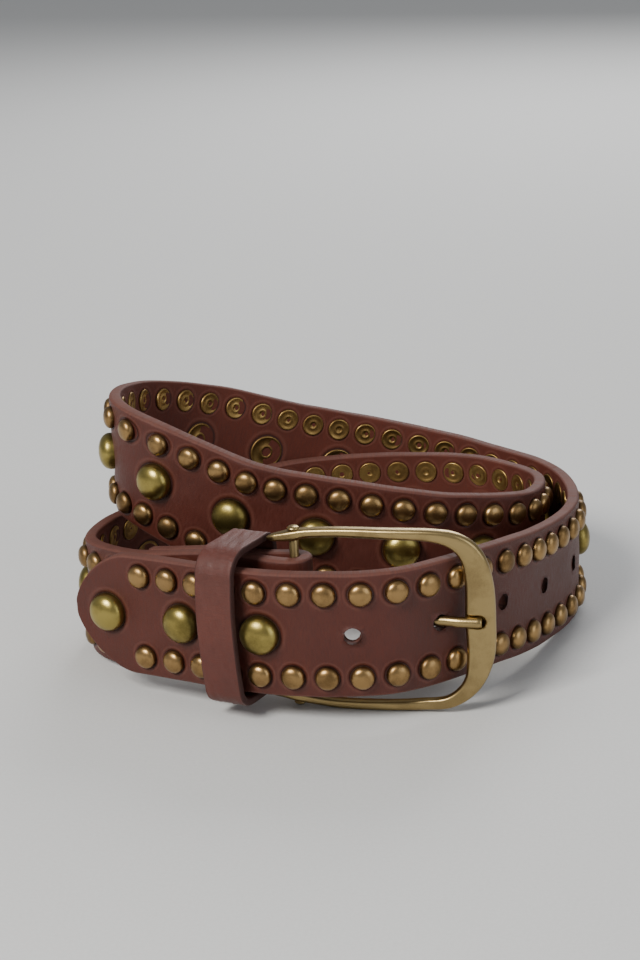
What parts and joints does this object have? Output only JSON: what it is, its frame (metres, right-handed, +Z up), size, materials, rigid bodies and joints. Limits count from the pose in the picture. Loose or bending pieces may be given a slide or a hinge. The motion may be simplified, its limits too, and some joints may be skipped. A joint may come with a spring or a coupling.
{
  "type": "studded leather belt",
  "caption": "Brown leather belt with rows of small and large domed studs, an oval-cornered buckle and a leather keeper, buckled shut and coiled.",
  "frame": {"origin": "on the ground below the middle of the coil's box", "axes": "+Z up, across the strap's width; -Y towards the side with the buckle; +X from the strap's tip towards the buckle's heel"},
  "size_m": [0.1674, 0.162, 0.0772],
  "materials": {
    "strap_leather": "worn dark red-brown hide with a smooth grain side, a rougher flesh side and small bronze-brown brass domes",
    "keeper_leather": "creased red-brown hide with raw dark edges",
    "stud_metal": "antiqued olive brass, polished on the dome and darker round the rim",
    "buckle_metal": "worn antique brass, satin, brighter along the edges"
  },
  "bodies": {
    "root": {"strap": "strap_leather", "large_stud_01": "stud_metal", "large_stud_02": "stud_metal", "large_stud_03": "stud_metal", "large_stud_04": "stud_metal", "large_stud_05": "stud_metal", "large_stud_06": "stud_metal", "large_stud_07": "stud_metal", "large_stud_08": "stud_metal", "large_stud_09": "stud_metal", "large_stud_10": "stud_metal", "large_stud_11": "stud_metal", "large_stud_12": "stud_metal", "large_stud_13": "stud_metal", "large_stud_14": "stud_metal", "large_stud_15": "stud_metal", "large_stud_16": "stud_metal", "large_stud_17": "stud_metal", "large_stud_18": "stud_metal", "large_stud_19": "stud_metal", "large_stud_20": "stud_metal", "large_stud_21": "stud_metal", "large_stud_22": "stud_metal", "large_stud_23": "stud_metal", "large_stud_24": "stud_metal", "large_stud_25": "stud_metal", "large_stud_26": "stud_metal", "large_stud_27": "stud_metal", "large_stud_28": "stud_metal", "keeper_loop": "keeper_leather", "buckle_frame": "buckle_metal", "buckle_bar": "buckle_metal", "buckle_tongue": "buckle_metal"}
  },
  "joints": []
}
